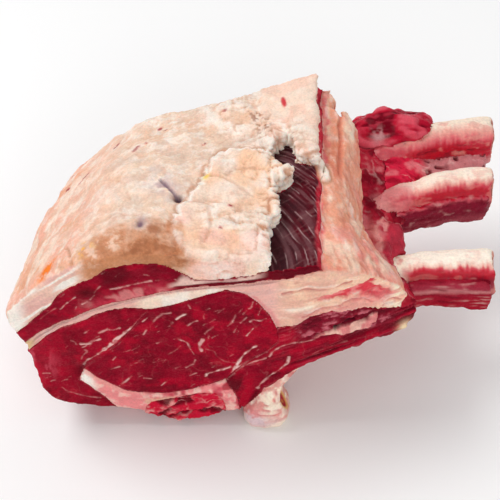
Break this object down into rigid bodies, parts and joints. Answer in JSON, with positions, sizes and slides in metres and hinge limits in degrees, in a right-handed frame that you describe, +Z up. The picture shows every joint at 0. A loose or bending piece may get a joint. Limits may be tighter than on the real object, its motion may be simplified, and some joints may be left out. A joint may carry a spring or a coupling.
{
  "type": "beef rib roast",
  "caption": "Raw bone-in rib joint with a thick fat cap, a marbled cut face, a folded fat side and trimmed, bare rib bones.",
  "frame": {"origin": "on the ground, under the middle of the bounding box", "axes": "+X along the ribs towards their sawn tips, +Y from the front cut face to the back cut face, +Z up"},
  "size_m": [0.3254, 0.1982, 0.1677],
  "materials": {
    "cap_fat": "dry, cream-coloured fat with tan and pink areas, rough and lumpy",
    "soft_fat": "moist pinkish fat and silver skin with a soft sheen",
    "lean_meat": "moist raw beef, dark crimson, with fine fat lines",
    "dark_meat": "air-dried raw beef, purple-brown on its uncovered surface",
    "bone": "scraped rib bone, ivory with red-stained sides and spongy sawn ends"
  },
  "bodies": {
    "root": {"fat_cap": "cap_fat", "seam_fat": "soft_fat", "lower_fat": "soft_fat", "eye_muscle": "lean_meat", "cap_muscle": "dark_meat", "side_muscle": "lean_meat", "chine_trim": "lean_meat", "rib_meat": "lean_meat", "strip_1": "lean_meat", "strip_2": "lean_meat", "web": "lean_meat", "lump": "lean_meat", "rib_1": "bone", "rib_2": "bone", "rib_3": "bone"}
  },
  "joints": []
}
